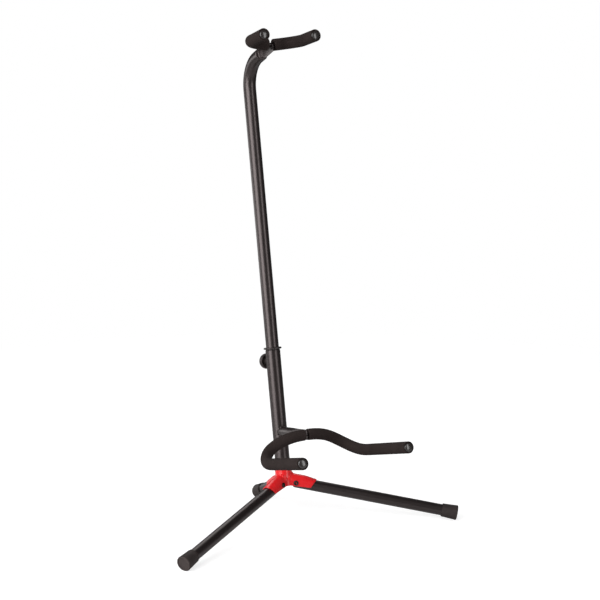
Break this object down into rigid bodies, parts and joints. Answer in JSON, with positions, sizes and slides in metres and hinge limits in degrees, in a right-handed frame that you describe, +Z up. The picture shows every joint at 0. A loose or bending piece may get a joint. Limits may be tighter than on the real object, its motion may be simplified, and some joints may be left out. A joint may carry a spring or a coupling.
{
  "type": "guitar stand",
  "caption": "Tubular guitar stand with a leaning post on folding tripod legs, a padded body cradle, and a height-adjustable mast with a padded neck yoke.",
  "frame": {"origin": "on the floor, under the middle of the stand's bounding box", "axes": "+Z up, -Y the way the cradle and yoke face, +X to the right as seen from the front"},
  "size_m": [0.5134, 0.3904, 0.8166],
  "materials": {
    "black_paint": "satin black powder coat on steel tube",
    "red_paint": "gloss red enamel on pressed steel",
    "rod_paint": "satin black paint on steel rod",
    "foam": "matte charcoal foam rubber sleeve",
    "gloss_cap": "glossy black plastic",
    "foot_rubber": "dark grey rubber",
    "collar_plastic": "semi-matte black plastic",
    "knob_plastic": "semi-matte dark grey plastic",
    "screw_steel": "plated steel",
    "rivet_steel": "blackened steel"
  },
  "bodies": {
    "base_frame": {"lower_tube": "black_paint", "tube_collar": "collar_plastic", "clamp_boss": "black_paint", "cradle_bracket": "black_paint", "cradle_rod": "rod_paint", "cradle_foam_left": "foam", "cradle_foam_right": "foam", "cradle_cap_left": "gloss_cap", "cradle_cap_right": "gloss_cap", "hub_sleeve": "red_paint", "leg_bracket_left": "red_paint", "leg_bracket_right": "red_paint", "leg_bracket_rear": "red_paint", "leg_rivet_left": "rivet_steel", "leg_rivet_right": "rivet_steel", "leg_rivet_rear": "rivet_steel"},
    "mast": {"upper_tube": "black_paint", "yoke_rod": "rod_paint", "yoke_foam_left": "foam", "yoke_foam_right": "foam", "yoke_cap_left": "gloss_cap", "yoke_cap_right": "gloss_cap"},
    "clamp_screw": {"clamp_screw": "screw_steel"},
    "clamp_knob": {"clamp_knob": "knob_plastic"},
    "leg_left": {"leg_tube_left": "black_paint", "foot_cap_left": "foot_rubber"},
    "leg_right": {"leg_tube_right": "black_paint", "foot_cap_right": "foot_rubber"},
    "leg_rear": {"leg_tube_rear": "black_paint", "foot_cap_rear": "foot_rubber"}
  },
  "joints": [
    {"name": "mast_height", "type": "slide", "parent": "base_frame", "child": "mast", "axis": [0, 0.191, 0.9816], "range_m": [-0.13, 0.04]},
    {"name": "clamp_travel", "type": "slide", "parent": "base_frame", "child": "clamp_screw", "axis": [0, 0.9816, -0.191], "range_m": [0, 0.0021]},
    {"name": "clamp_turn", "type": "hinge", "parent": "clamp_screw", "child": "clamp_knob", "pos_m": [0, 0.11254, 0.25868], "axis": [0, 0.9816, -0.191], "range_deg": [0, 720]},
    {"name": "leg_fold_left", "type": "hinge", "parent": "base_frame", "child": "leg_left", "pos_m": [-0.01795, 0.04424, 0.05833], "axis": [0.5, -0.8501, 0.1654], "range_deg": [0, 74]},
    {"name": "leg_fold_right", "type": "hinge", "parent": "base_frame", "child": "leg_right", "pos_m": [0.01795, 0.04424, 0.05833], "axis": [0.5, 0.8501, -0.1654], "range_deg": [0, 74]},
    {"name": "leg_fold_rear", "type": "hinge", "parent": "base_frame", "child": "leg_rear", "pos_m": [0, 0.07476, 0.05239], "axis": [-1, 0, 0], "range_deg": [0, 74]}
  ],
  "couplings": [
    {"joint": "clamp_travel", "follows": "clamp_turn", "m_per_rad": 0.00015915}
  ]
}
